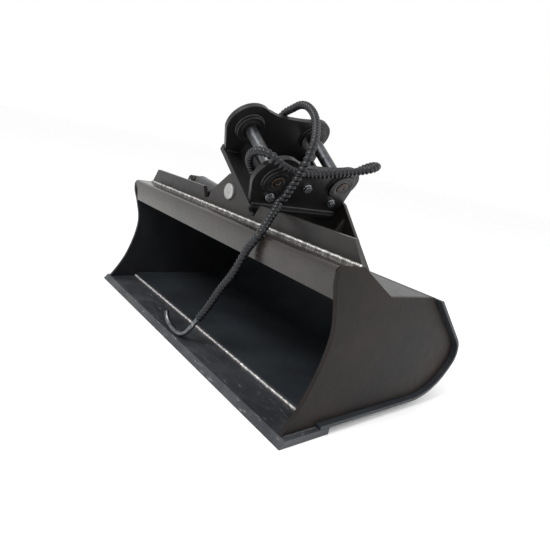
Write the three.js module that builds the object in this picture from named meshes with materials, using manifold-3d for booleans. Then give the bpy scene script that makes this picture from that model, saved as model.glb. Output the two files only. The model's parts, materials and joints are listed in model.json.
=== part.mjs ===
// Hydraulic tilting ditch-cleaning bucket for a small excavator.
// Millimetres, +X across the blade, +Y from the mouth to the heel, +Z up.
// The bucket stands level on its blade and heel strips; the tilting head leans to one side.
import * as THREE from 'three';
import { mergeVertices } from 'three/addons/utils/BufferGeometryUtils.js';
import Module from 'manifold-3d';

const wasm = await Module();
wasm.setup();

// ---------------------------------------------------------------- driving dimensions
const GAP = 0.3;
const RAD = Math.PI / 180;
const HALF_WIDTH = 617.5; // blade and wrapper, half of 1235
const SIDE_OUTER = 600; // outer faces of the side plates, half of 1200
const SIDE_T = 12;
const SHELL_T = 10;
const EDGE_T = 20;
const EDGE_TIP_Y = -15;
const EDGE_REAR_Y = 148;
const LAP_Y = 113; // the wrapper laps over the blade from here
const HEEL_R = 216;
const HEEL_Y = 497;
const HEEL_END = -33 * RAD;
const BACK_R = 68;
const REAR_TOP = [512, 341.7];
const DECK_FRONT = [88, 363.7]; // top surface of the deck, front and rear
const DECK_REAR = [496.2, 342];
const DECK_T = 8;
const BEAM_TOP = 436;
const BEAM_T = 8;
const UPRIGHT_Y = 140;
const UPRIGHT_T = 15;
const UPRIGHT_TOP = 493;
const REAR_UPRIGHT_Y = 496;
const PIVOT_Z = 503;
const PIVOT_R = 26;
const TILT = 36.5 * RAD;
const EAR_IN = 104;
const EAR_OUT = 120;
const BASE_W = 61; // underside of the head's base plate above the pivot
const BASE_T = 16;
const DIPPER = [158, 180]; // pin centres along and above the pivot axis
const LINK = [413, 198];
const PIN_R = 20;
const BOSS_R = 46;
const CYL_BASE = [-430, 478];
const CYL_Y = 260;
const CYL_SLOPE = -6.337 * RAD;
const CYL_LENGTH = 387.1; // base pin to rod pin as it stands
const CYL_R = 32;
const CYL_PIN_R = 12.5;
const LUG_ARM = 76; // head's cylinder lug below the pivot
const LUG_HOLE_R = 21;

// ---------------------------------------------------------------- materials
const paint = (color, roughness) => new THREE.MeshStandardMaterial({ color, roughness, metalness: 0.1 });
const steel = (color, roughness) => new THREE.MeshStandardMaterial({ color, roughness, metalness: 0.9 });
const shellPaint = paint(0x24262a, 0.45);
const framePaint = paint(0x33302f, 0.5);
const headPaint = paint(0x1d2022, 0.5);
const pinSteel = steel(0x8a8c8b, 0.35);
const zinc = steel(0xc9ccd0, 0.3);
const yellowZinc = steel(0xb5823f, 0.35);
const chrome = steel(0xdfe2e6, 0.15);
const rubber = paint(0x16171a, 0.6);

// ---------------------------------------------------------------- shape helpers
const shapeOf = (points) => new THREE.Shape(points.map(([a, b]) => new THREE.Vector2(a, b)));

function hole(shape, a, b, radius) {
  shape.holes.push(new THREE.Path().absarc(a, b, radius, 0, 2 * Math.PI, true));
  return shape;
}

const extrude = (shape, depth, curveSegments) =>
  new THREE.ExtrudeGeometry(shape, { depth, bevelEnabled: false, curveSegments });

// An outline drawn in Y and Z, swept along X.
function alongX(shape, x0, x1, curveSegments = 16) {
  const toX = new THREE.Matrix4().set(0, 0, 1, x0, 1, 0, 0, 0, 0, 1, 0, 0, 0, 0, 0, 1);
  return extrude(shape, x1 - x0, curveSegments).applyMatrix4(toX);
}

// An outline drawn in X and Z, swept along Y.
function alongY(shape, y0, y1, curveSegments = 16) {
  return extrude(shape, y1 - y0, curveSegments).rotateX(Math.PI / 2).translate(0, y1, 0);
}

const alongZ = (shape, z0, z1, curveSegments = 16) =>
  extrude(shape, z1 - z0, curveSegments).translate(0, 0, z0);

// A round bar, or a ring when it has a bore, along one axis.
function ring(axis, start, end, outer, bore = 0, segments = 32) {
  const profile = [[bore, 0], [outer, 0], [outer, end - start], [bore, end - start]];
  if (bore > 0) profile.push([bore, 0]);
  const shape = new THREE.LatheGeometry(profile.map(([r, h]) => new THREE.Vector2(r, h)), segments);
  shape.translate(0, start, 0);
  if (axis === 'x') shape.rotateZ(-Math.PI / 2);
  if (axis === 'z') shape.rotateX(Math.PI / 2);
  return shape;
}

function solid(geometry) {
  const bare = geometry.clone();
  bare.deleteAttribute('normal');
  bare.deleteAttribute('uv');
  const merged = mergeVertices(bare, 1e-4);
  return new wasm.Manifold(new wasm.Mesh({
    numProp: 3,
    vertProperties: new Float32Array(merged.attributes.position.array),
    triVerts: new Uint32Array(merged.index.array),
  }));
}

function geometryOf(manifold) {
  const mesh = manifold.getMesh();
  const geometry = new THREE.BufferGeometry();
  geometry.setAttribute('position', new THREE.BufferAttribute(new Float32Array(mesh.vertProperties), 3));
  geometry.setIndex(new THREE.BufferAttribute(new Uint32Array(mesh.triVerts), 1));
  return geometry;
}

function join(first, ...rest) {
  return geometryOf(rest.reduce((sum, next) => sum.add(solid(next)), solid(first)));
}

function cut(first, ...rest) {
  return geometryOf(rest.reduce((sum, next) => sum.subtract(solid(next)), solid(first)));
}

// A plate bent along a line of points, thickened to the right-hand side of its path.
function foldedPlate(points, thickness) {
  const inner = points.map(([y, z], i) => {
    const before = points[Math.max(i - 1, 0)];
    const after = points[Math.min(i + 1, points.length - 1)];
    const a = new THREE.Vector2(y - before[0], z - before[1]).normalize();
    const b = new THREE.Vector2(after[0] - y, after[1] - z).normalize();
    const run = a.clone().add(b).normalize();
    const scale = thickness / Math.max(run.dot(a.lengthSq() ? a : b), 0.2);
    return [y + run.y * scale, z - run.x * scale];
  });
  return shapeOf([...points, ...inner.reverse()]);
}

const arc = (y, z, radius, from, to, steps) =>
  Array.from({ length: steps + 1 }, (_, i) => {
    const angle = from + ((to - from) * i) / steps;
    return [y + radius * Math.cos(angle), z + radius * Math.sin(angle)];
  });

// ---------------------------------------------------------------- scene graph
const heelCentre = [HEEL_Y, HEEL_R + EDGE_T];
const backCentre = [
  heelCentre[0] + (HEEL_R - BACK_R) * Math.cos(HEEL_END),
  heelCentre[1] + (HEEL_R - BACK_R) * Math.sin(HEEL_END),
];
const toTop = new THREE.Vector2(REAR_TOP[0] - backCentre[0], REAR_TOP[1] - backCentre[1]);
const backAngle = toTop.angle() - Math.acos(BACK_R / toTop.length());
const heelBack = backCentre[0] + BACK_R;

const bucket = new THREE.Group();
bucket.position.y = -(EDGE_TIP_Y + heelBack) / 2;
const head = new THREE.Group();
head.position.z = PIVOT_Z;
head.rotation.y = TILT;
const barrel = new THREE.Group();
barrel.position.set(CYL_BASE[0], CYL_Y, CYL_BASE[1]);
barrel.rotation.y = -CYL_SLOPE;
bucket.add(head, barrel);

function add(group, name, geometry, material) {
  const mesh = new THREE.Mesh(geometry, material);
  mesh.name = name;
  group.add(mesh);
  return mesh;
}

// ---------------------------------------------------------------- bowl
// The wrapper's section at a depth under its outer skin, from the lap to the rear top corner.
function wrapperLine(depth) {
  const topY = REAR_TOP[0] - depth / Math.cos(backAngle);
  return [
    [LAP_Y, EDGE_T + depth],
    ...arc(...heelCentre, HEEL_R - depth, -Math.PI / 2, HEEL_END, 12),
    ...arc(...backCentre, BACK_R - depth, HEEL_END, backAngle, 10).slice(1),
    [topY, REAR_TOP[1]],
  ];
}

function makeBowl() {
  const edge = shapeOf([
    [EDGE_TIP_Y, 0], [EDGE_REAR_Y, 0], [EDGE_REAR_Y, EDGE_T - GAP], [0, EDGE_T - GAP], [EDGE_TIP_Y, 2],
  ]);
  add(bucket, 'base_edge', alongX(edge, -HALF_WIDTH, HALF_WIDTH), shellPaint);
  const wrapper = shapeOf([...wrapperLine(0), ...wrapperLine(SHELL_T).reverse()]);
  add(bucket, 'wrapper', alongX(wrapper, -HALF_WIDTH, HALF_WIDTH), shellPaint);
  for (const [i, x] of [-330, 330].entries()) {
    const strip = shapeOf([[300, 0], [480, 0], [490, 10], [490, EDGE_T - GAP], [290, EDGE_T - GAP], [290, 10]]);
    add(bucket, `heel_strip_${i + 1}`, alongX(strip, x - 60, x + 60), shellPaint);
  }
}

function makeSidePlates() {
  const front = new THREE.SplineCurve([
    [0, EDGE_T], [22, 52], [53, 105], [79, 174], [94, 240], [94, 290], [79, 352], [66, 393], [64, 422],
  ].map(([y, z]) => new THREE.Vector2(y, z))).getPoints(28).map((p) => [p.x, p.y]);
  const inner = wrapperLine(SHELL_T + GAP).reverse();
  const top = BEAM_TOP + GAP;
  const outline = shapeOf([
    [LAP_Y - GAP, EDGE_T], ...front, ...arc(80, top - 14, 14, 160 * RAD, 90 * RAD, 5),
    [151, top], [284, 357], [492, 346.5], ...inner,
  ]);
  const near = SIDE_OUTER - SIDE_T;
  add(bucket, 'side_plate_left', alongX(outline, -SIDE_OUTER, -near), shellPaint);
  add(bucket, 'side_plate_right', alongX(outline, near, SIDE_OUTER), shellPaint);
}

// ---------------------------------------------------------------- top beam and uprights
const plateHalf = SIDE_OUTER - SIDE_T - GAP;
const deckSlope = (DECK_REAR[1] - DECK_FRONT[1]) / (DECK_REAR[0] - DECK_FRONT[0]);
const deckZ = (y) => DECK_FRONT[1] + deckSlope * (y - DECK_FRONT[0]);
const beamZ = (y) => BEAM_TOP - (y - 150) * Math.tan(30.5 * RAD);

function makeTopBeam() {
  const bevel = DECK_T * Math.tan(backAngle); // the rear edge lies along the wrapper's inner face
  const deck = shapeOf([
    [DECK_FRONT[0], DECK_FRONT[1] - DECK_T], [DECK_REAR[0] + bevel * 0.95, DECK_REAR[1] - DECK_T], DECK_REAR, DECK_FRONT,
  ]);
  add(bucket, 'deck_plate', alongX(deck, -plateHalf, plateHalf), framePaint);
  const foot = 274;
  const line = [
    [79, 356], ...arc(78, BEAM_TOP - 14, 14, 166 * RAD, 90 * RAD, 6), [150, BEAM_TOP], [foot, beamZ(foot)],
  ];
  add(bucket, 'top_beam', alongX(foldedPlate(line, BEAM_T), -plateHalf, plateHalf), framePaint);
}

// Half of the front upright's top edge, from the middle out: hump, stop notch, straight lip.
const frontHalf = [
  [18, 559], [119, 484], [126, 456], [152, 456], [172, UPRIGHT_TOP], [556, UPRIGHT_TOP], [599, BEAM_TOP + 2 * GAP],
];
const rearHalf = [[70, 566], [110, 556], [171, 527], [338, DECK_REAR[1] + 2 * GAP]];

function uprightShape(half) {
  const mirrored = half.map(([x, z]) => [-x, z]);
  return hole(shapeOf([...half.toReversed(), ...mirrored]), 0, PIVOT_Z, PIVOT_R + 0.5);
}

function makeUprights() {
  const front = alongY(uprightShape(frontHalf), UPRIGHT_Y, UPRIGHT_Y + UPRIGHT_T, 16);
  add(bucket, 'front_upright', front, framePaint);
  const rear = alongY(uprightShape(rearHalf), REAR_UPRIGHT_Y, REAR_UPRIGHT_Y + UPRIGHT_T - 1, 16);
  add(bucket, 'rear_upright', rear, framePaint);
  const behind = UPRIGHT_Y + UPRIGHT_T + GAP;
  for (const [side, x] of [['left', -530], ['right', 530]]) {
    const web = shapeOf([
      [behind, beamZ(behind) + 1], [behind, UPRIGHT_TOP - 12], [behind + 12, UPRIGHT_TOP - 12], [250, beamZ(250) + 1],
    ]);
    add(bucket, `front_gusset_${side}`, alongX(web, x - 6, x + 6), framePaint);
  }
  const ahead = REAR_UPRIGHT_Y - GAP;
  for (const [side, x] of [['left', -190], ['right', 190]]) {
    const web = shapeOf([[400, deckZ(400) + 0.5], [ahead, deckZ(ahead) + 0.5], [ahead, 480], [ahead - 12, 480]]);
    add(bucket, `rear_gusset_${side}`, alongX(web, x - 6, x + 6), framePaint);
  }
}

function hexBolt(axis, start, end, acrossFlats, washerR) {
  const washerT = 3 * Math.sign(end - start);
  const low = Math.min(start + washerT, end);
  const high = Math.max(start + washerT, end);
  const hex = ring(axis, low, high, acrossFlats / 2 / Math.cos(30 * RAD), 0, 6);
  const washer = ring(axis, Math.min(start, start + washerT), Math.max(start, start + washerT), washerR, 0, 24);
  return join(washer, hex);
}

function makePivot() {
  const rearFace = REAR_UPRIGHT_Y + UPRIGHT_T - 1;
  const at = (geometry) => geometry.translate(0, 0, PIVOT_Z);
  add(bucket, 'pivot_pin', at(ring('y', UPRIGHT_Y - 8, rearFace + 4, PIVOT_R, 0, 40)), pinSteel);
  const behind = UPRIGHT_Y + UPRIGHT_T + GAP;
  add(bucket, 'pivot_boss_front', at(ring('y', behind, behind + 20, 44, PIVOT_R + 0.5)), framePaint);
  const ahead = REAR_UPRIGHT_Y - GAP;
  add(bucket, 'pivot_boss_rear', at(ring('y', ahead - 20, ahead, 44, PIVOT_R + 0.5)), framePaint);
  add(bucket, 'pivot_end_cap', at(ring('y', rearFace + 4 + GAP, rearFace + 14, 38)), framePaint);
  const bolt = hexBolt('y', rearFace + 14 + GAP, rearFace + 28, 30, 22);
  add(bucket, 'pivot_cap_bolt', at(bolt), zinc);
}

function makeCylinderLugs() {
  for (const [side, y0, y1] of [['front', 226, 238], ['rear', 282, 294]]) {
    const foot = Math.max(beamZ(y0), deckZ(y0)) + 1;
    const [x, z] = CYL_BASE;
    const lug = new THREE.Shape();
    lug.moveTo(x - 80, foot);
    lug.lineTo(x + 24, foot);
    lug.lineTo(x + 24, z);
    lug.absarc(x, z, 24, 0, 150 * RAD, false);
    add(bucket, `cylinder_lug_${side}`, alongY(hole(lug, x, z, CYL_PIN_R + 0.5), y0, y1, 16), framePaint);
  }
  const pin = ring('y', 218, 302, CYL_PIN_R, 0, 24).translate(CYL_BASE[0], 0, CYL_BASE[1]);
  add(bucket, 'cylinder_base_pin', pin, pinSteel);
}

// ---------------------------------------------------------------- tilting head
function earShape() {
  const [y1, z1] = DIPPER;
  const [y2, z2] = LINK;
  const ear = new THREE.Shape();
  ear.moveTo(493, BASE_W + BASE_T + GAP);
  ear.lineTo(493, 112);
  ear.lineTo(y2 + 66 * Math.cos(-12 * RAD), z2 + 66 * Math.sin(-12 * RAD));
  ear.absarc(y2, z2, 66, -12 * RAD, 105 * RAD, false);
  ear.bezierCurveTo(350, 246, 290, 243, 256, 241);
  ear.bezierCurveTo(228, 240, 212, 247, y1 + 78 * Math.cos(62 * RAD), z1 + 78 * Math.sin(62 * RAD));
  ear.absarc(y1, z1, 78, 62 * RAD, 196 * RAD, false);
  ear.lineTo(122, BASE_W + BASE_T + GAP);
  hole(ear, y1, z1, BOSS_R + 0.8);
  return hole(ear, y2, z2, BOSS_R + 0.8);
}

function makeHeadBase() {
  const [u, v0, v1, r] = [137, 118, 486, 14];
  const plate = new THREE.Shape();
  plate.absarc(u - r, v0 + r, r, -90 * RAD, 0, false);
  plate.absarc(u - r, v1 - r, r, 0, 90 * RAD, false);
  plate.absarc(r - u, v1 - r, r, 90 * RAD, 180 * RAD, false);
  plate.absarc(r - u, v0 + r, r, 180 * RAD, 270 * RAD, false);
  const slot = new THREE.Path();
  slot.absarc(-40, 202, 24, 0, 2 * Math.PI, true);
  plate.holes.push(slot);
  add(head, 'head_base_plate', alongZ(plate, BASE_W, BASE_W + BASE_T, 6), headPaint);
}

function makeEars() {
  const foot = BASE_W + BASE_T + GAP;
  for (const [side, sign] of [['left', -1], ['right', 1]]) {
    const [x0, x1] = sign > 0 ? [EAR_IN, EAR_OUT] : [-EAR_OUT, -EAR_IN];
    add(head, `ear_${side}`, alongX(earShape(), x0, x1, 12), headPaint);
    for (const [pin, [v, w]] of [['dipper', DIPPER], ['link', LINK]]) {
      const [b0, b1] = sign > 0 ? [EAR_IN - 12, EAR_OUT + 12] : [-EAR_OUT - 12, 12 - EAR_IN];
      const boss = ring('x', b0, b1, BOSS_R, PIN_R + 0.4).translate(0, v, w);
      add(head, `${pin}_boss_${side}`, boss, headPaint);
    }
  }
  for (const [i, [v, w]] of [[174, 112], [288, 167], [430, 120]].entries()) {
    const bolt = hexBolt('x', EAR_OUT + GAP, EAR_OUT + 12, 24, 15).translate(0, v, w);
    add(head, `ear_bolt_${i + 1}`, bolt, zinc);
  }
  const inside = EAR_IN - GAP;
  for (const [name, v, top] of [['front', 172, 132], ['rear', 438, 134]]) {
    const web = shapeOf([[-inside, foot], [inside, foot], [inside, top], [-inside, top]]);
    add(head, `cross_plate_${name}`, alongY(web, v, v + 12), headPaint);
  }
  for (const [pin, [v, w]] of [['dipper', DIPPER], ['link', LINK]]) {
    add(head, `${pin}_pin`, ring('x', -EAR_OUT - 14, EAR_OUT + 14, PIN_R).translate(0, v, w), pinSteel);
  }
}

function makePivotHub() {
  const [start, end] = [UPRIGHT_Y + UPRIGHT_T + 21, REAR_UPRIGHT_Y - 21];
  add(head, 'pivot_tube', ring('y', start, end, 34, PIVOT_R + GAP), headPaint);
  const top = BASE_W - GAP;
  for (const [name, v] of [['front', 226], ['rear', 282]]) {
    const lug = new THREE.Shape();
    lug.moveTo(-90, top);
    lug.lineTo(-34, -LUG_ARM);
    lug.absarc(0, -LUG_ARM, 34, Math.PI, 2 * Math.PI, false);
    lug.lineTo(90, top);
    hole(lug, 0, 0, 34 + GAP);
    hole(lug, 0, -LUG_ARM, LUG_HOLE_R);
    add(head, `cylinder_web_${name}`, alongY(lug, v, v + 12, 14), headPaint);
  }
  const web = new THREE.Shape();
  web.moveTo(-100, top);
  web.lineTo(-48, -10);
  web.absarc(0, 0, 49, 192 * RAD, 348 * RAD, false);
  web.lineTo(100, top);
  hole(web, 0, 0, 34 + GAP);
  add(head, 'hub_web_rear', alongY(web, 430, 444, 14), headPaint);
}

// ---------------------------------------------------------------- tilt cylinder, along its own X
const TUBE_START = 40;
const TUBE_END = 242;
const PISTON_X = 60;

function makeBarrel() {
  const cap = ring('x', 28, TUBE_START - GAP, CYL_R);
  const eye = ring('y', -20, 20, 24, 0, 28);
  const neck = ring('x', 2, 30, 18, 0, 24);
  const bore = ring('y', -21, 21, CYL_PIN_R + 0.4, 0, 24);
  add(barrel, 'cylinder_base_eye', cut(join(cap, eye, neck), bore), headPaint);
  add(barrel, 'cylinder_tube', ring('x', TUBE_START, TUBE_END, CYL_R, 25), headPaint);
  add(barrel, 'cylinder_gland', ring('x', TUBE_END + GAP, TUBE_END + 24, 34, 15.3), headPaint);
  const skin = ring('x', 0, 300, CYL_R + GAP);
  for (const [name, x, side] of [['base', 78, -1], ['rod', 222, 1]]) {
    const [y0, y1] = side > 0 ? [24, 42] : [-42, -24];
    const boss = cut(ring('y', y0, y1, 13, 0, 20).translate(x, 0, 0), skin);
    add(barrel, `port_boss_${name}`, boss, headPaint);
  }
}

function makeRod() {
  const eyeX = CYL_LENGTH;
  add(barrel, 'cylinder_piston', ring('x', PISTON_X, PISTON_X + 30, 24.7, 15.3), pinSteel);
  add(barrel, 'cylinder_rod', ring('x', PISTON_X - 4, eyeX - 40, 15), chrome);
  const eye = ring('y', -20, 20, 25, 0, 28).translate(eyeX, 0, 0);
  const neck = ring('x', eyeX - 40 + GAP, eyeX, 18, 0, 24);
  const bore = ring('y', -21, 21, CYL_PIN_R + 0.4, 0, 24).translate(eyeX, 0, 0);
  add(barrel, 'rod_eye', cut(join(eye, neck), bore), headPaint);
  add(barrel, 'rod_pin', ring('y', -44, 44, CYL_PIN_R, 0, 24).translate(eyeX, 0, 0), pinSteel);
  for (const [name, y] of [['front', -38], ['rear', 34.6]]) {
    const washer = ring('y', y, y + 3.4, 31, CYL_PIN_R + 0.4, 28).translate(eyeX, 0, 0);
    add(barrel, `rod_pin_washer_${name}`, washer, zinc);
  }
}

// ---------------------------------------------------------------- hose fittings and hoses
const HOSE_R = 10;
const TAIL_R = 8;

function makeFittings() {
  const portX = 78;
  const front = -42 - GAP;
  const elbow = join(ring('y', front - 22, front, 9, 0, 20).translate(portX, 0, 0),
    ring('x', portX - 16, portX + 14, 10, 0, 20).translate(0, front - 14, 0));
  add(barrel, 'elbow_base', elbow, zinc);
  const run = (name, a, b, r, material, sides) =>
    add(barrel, name, ring('x', portX + a, portX + b, r, 0, sides).translate(0, front - 14, 0), material);
  run('swivel_nut_base', 14 + GAP, 40, 14, yellowZinc, 6);
  run('ferrule_base', 40 + GAP, 66, 12.5, zinc, 24);
  const rear = 42 + GAP;
  const rodX = 222;
  const fitting = join(ring('y', rear, rear + 22, 9, 0, 20).translate(rodX, 0, 0),
    ...[[-10, 20, 10, 20], [16, 38, 14, 6], [38, 64, 12.5, 24]].map(([z0, z1, r, sides]) =>
      ring('z', z0, z1 + (r < 14 ? 0 : 1), r, 0, sides).translate(rodX, rear + 14, 0)));
  add(barrel, 'rod_port_fitting', fitting, zinc);
}

// A hose of one radius along a smooth line through its points.
function hose(points, radius, steps) {
  const line = new THREE.CatmullRomCurve3(points.map((p) => new THREE.Vector3(...p)), false, 'centripetal');
  const section = new THREE.Shape().absarc(0, 0, radius, 0, 2 * Math.PI, false);
  return new THREE.ExtrudeGeometry(section, { steps, curveSegments: 5, extrudePath: line, bevelEnabled: false });
}

const onHead = ([u, v, w]) => [
  u * Math.cos(TILT) + w * Math.sin(TILT), v, PIVOT_Z - u * Math.sin(TILT) + w * Math.cos(TILT),
];
const onBarrel = ([x, y, z]) => [
  CYL_BASE[0] + x * Math.cos(CYL_SLOPE) - z * Math.sin(CYL_SLOPE), CYL_Y + y,
  CYL_BASE[1] + x * Math.sin(CYL_SLOPE) + z * Math.cos(CYL_SLOPE),
];

// The feed hose climbs outside the left ear, arches over both ears and crosses the return hose.
const feedUpper = [
  onBarrel([222, 56.3, 64.5]), onBarrel([222, 56.3, 90]), onBarrel([223, 56, 125]),
  ...[[-212, 306, 10], [-184, 300, 70], [-168, 294, 130], [-158, 288, 190], [-145, 281, 234], [-122, 279, 272],
    [-97, 274, 304], [-62, 267, 326], [-24, 259, 336], [12, 247, 340], [48, 232, 339], [82, 213, 337],
    [116, 192, 334], [146, 172, 322], [166, 161, 299], [176, 158, 264]].map(onHead),
];
const feedLower = [
  ...[[176.5, 157.9, 261.6], [181, 156, 240], [187, 153, 208], [192, 150, 180]].map(onHead),
  [250, 147, 523], [268, 124, 503], [292, 86, 471], [309, 57, 444], [295, 50, 416], [273, 50, 388], [233, 47, 307],
  [184, 44, 236], [139, 37, 156], [113, 30, 114],
];
const tail = [
  [112.6, 29.8, 113.2], [92, 24, 78], [66, 18, 45], [38, 14, 31], [10, 12, 29.5], [-26, 12, 35], [-52, 12, 48],
  [-68, 14, 66],
];

// The return hose runs up through the base plate, round the link pin and along the right ear.
const returnHose = [
  onBarrel([144.5, -56.3, 0]), onBarrel([170, -56.3, 1]), onBarrel([205, -57, 8]), [-184, 202, 482], [-138, 202, 510],
  ...[[-86, 202, 18], [-56, 202, 44], [-40, 202, 69], [-34, 206, 96], [-28, 232, 126], [-8, 290, 142],
    [30, 360, 138], [52, 420, 152], [62, 462, 178], [74, 484, 216], [88, 488, 256], [110, 486, 290],
    [134, 474, 308], [147, 448, 306], [148, 415, 292], [148, 375, 279], [148, 325, 266], [148, 265, 249],
    [148, 212, 241], [148, 160, 242], [144, 118, 252], [122, 80, 262], [92, 68, 246], [66, 72, 214],
    [54, 90, 178], [50, 118, 148]].map(onHead),
];

function makeHoses() {
  add(bucket, 'feed_hose_upper', hose(feedUpper, HOSE_R, 40), rubber);
  add(bucket, 'feed_hose_lower', hose(feedLower, HOSE_R, 34), rubber);
  add(bucket, 'feed_hose_tail', hose(tail, TAIL_R, 16), zinc);
  add(bucket, 'return_hose', hose(returnHose, HOSE_R, 72), rubber);
  const end = ring('z', 0, 30, 12, 0, 6);
  const turn = new THREE.Quaternion().setFromUnitVectors(
    new THREE.Vector3(0, 0, 1), new THREE.Vector3(-4, 28, -30).normalize());
  const plug = new THREE.Mesh(end, zinc);
  plug.name = 'return_hose_end';
  plug.quaternion.copy(turn);
  plug.position.set(49.8, 119.2, 146.8);
  head.add(plug);
}

makeBowl();
makeSidePlates();
makeTopBeam();
makeUprights();
makePivot();
makeCylinderLugs();
makeHeadBase();
makeEars();
makePivotHub();
makeBarrel();
makeRod();
makeFittings();
makeHoses();

export default bucket;
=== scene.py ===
"""The looks of a hydraulic tilting ditch-cleaning bucket, built around its CAD frame.

Sizes are in millimetres until place(), on_head() or on_barrel() puts them into the row frame in metres.
"""

import json
import logging
from dataclasses import dataclass
from enum import Enum
from math import cos, pi, radians, sin
from typing import Sequence

import bmesh
import bpy
import numpy as np
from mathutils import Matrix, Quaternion, Vector

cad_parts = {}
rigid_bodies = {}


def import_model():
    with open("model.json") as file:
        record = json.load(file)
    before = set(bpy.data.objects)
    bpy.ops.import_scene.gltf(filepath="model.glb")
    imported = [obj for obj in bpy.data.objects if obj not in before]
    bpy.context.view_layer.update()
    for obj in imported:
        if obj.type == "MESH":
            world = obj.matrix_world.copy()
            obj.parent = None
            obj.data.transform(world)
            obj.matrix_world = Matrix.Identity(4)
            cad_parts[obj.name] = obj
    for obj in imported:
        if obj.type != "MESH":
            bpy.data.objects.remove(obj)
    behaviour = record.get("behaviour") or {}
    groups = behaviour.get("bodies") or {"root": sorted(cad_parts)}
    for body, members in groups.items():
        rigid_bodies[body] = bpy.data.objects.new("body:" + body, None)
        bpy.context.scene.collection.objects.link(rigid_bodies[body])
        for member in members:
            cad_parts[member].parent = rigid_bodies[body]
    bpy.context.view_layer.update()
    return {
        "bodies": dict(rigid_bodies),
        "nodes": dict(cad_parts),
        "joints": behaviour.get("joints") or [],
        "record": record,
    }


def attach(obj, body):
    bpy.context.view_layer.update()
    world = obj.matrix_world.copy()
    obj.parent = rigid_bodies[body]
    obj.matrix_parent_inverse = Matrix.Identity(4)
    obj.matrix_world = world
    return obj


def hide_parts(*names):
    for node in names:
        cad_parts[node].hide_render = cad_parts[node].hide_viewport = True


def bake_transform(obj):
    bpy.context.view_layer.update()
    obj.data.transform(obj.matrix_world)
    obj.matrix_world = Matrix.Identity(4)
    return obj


log = logging.getLogger("bucket")
Point = Sequence[float]
Profile = list[tuple[float, float]]

MM = 0.001
HALF_DEPTH = 337.06 * MM  # from the side plates' front corner to the middle of the frame
TILT = radians(36.5)  # the head's lean as it stands
PIVOT_Z = 503
CYL_BASE_X = -430
CYL_BASE_Z = 478
CYL_Y = 260
CYL_SLOPE = radians(-6.337)
BACKWARDS = (0.0, 1.0, 0.0)  # the direction of the pivot and of the cylinder's pins


class Body(Enum):
    """The CAD bodies that pieces ride on."""

    BUCKET = "bucket"
    HEAD = "tilt_head"
    BARREL = "cylinder_barrel"
    ROD = "cylinder_rod"


class Side(Enum):
    """The two sides of the bucket and its head, as directions across."""

    LEFT = -1
    RIGHT = 1

    @property
    def word(self) -> str:
        """The side's name as node names spell it."""
        return self.name.lower()


# ---------------------------------------------------------------- places


def place(point: Point) -> tuple[float, float, float]:
    """Puts a point of the bucket into the row frame: turned to metres and moved forward by half the depth.

    Args:
        point: across, back from the side plates' front corner, and up, in millimetres.

    Returns:
        The point in metres.
    """
    x, y, z = point
    return (x * MM, y * MM - HALF_DEPTH, z * MM)


def on_head(point: Point) -> tuple[float, float, float]:
    """Puts a point of the leaning head into the row frame: turned by its lean about the pivot's axis.

    Args:
        point: across the head, back, and up from the pivot's axis, in millimetres.

    Returns:
        The point in metres.
    """
    u, v, w = point
    return place((u * cos(TILT) + w * sin(TILT), v, PIVOT_Z + w * cos(TILT) - u * sin(TILT)))


def on_barrel(point: Point) -> tuple[float, float, float]:
    """Puts a point of the tilt cylinder into the row frame: turned by its slope about the base pin.

    Args:
        point: along the cylinder from its base pin, back, and up, in millimetres.

    Returns:
        The point in metres.
    """
    x, y, z = point
    rise, run = sin(CYL_SLOPE), cos(CYL_SLOPE)
    return place((CYL_BASE_X + x * run - z * rise, CYL_Y + y, CYL_BASE_Z + x * rise + z * run))


# ---------------------------------------------------------------- finishes


def linear(code: str) -> tuple[float, float, float, float]:
    """Turns an sRGB hex colour into a linear one: dark parts over 12.92, others raised to the power 2.4.

    Args:
        code: six hex digits.

    Returns:
        Red, green, blue and an alpha of 1.
    """
    parts = [int(code[i : i + 2], 16) / 255 for i in (0, 2, 4)]
    return (*[p / 12.92 if p <= 0.04045 else ((p + 0.055) / 1.055) ** 2.4 for p in parts], 1.0)


def add_node(tree: bpy.types.NodeTree, kind: str, inputs: dict, **settings: str) -> bpy.types.Node:
    """Adds a shader node and fills in its sockets.

    Args:
        tree: the material's nodes.
        kind: the node's Blender type.
        inputs: socket name or number to a value, or to the output that feeds it.
        **settings: the node's own properties.

    Returns:
        The new node.
    """
    node = tree.nodes.new(kind)
    for name, value in settings.items():
        setattr(node, name, value)
    for name, value in inputs.items():
        if isinstance(value, bpy.types.NodeSocket):
            tree.links.new(value, node.inputs[name])
        else:
            node.inputs[name].default_value = value
    return node


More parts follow.
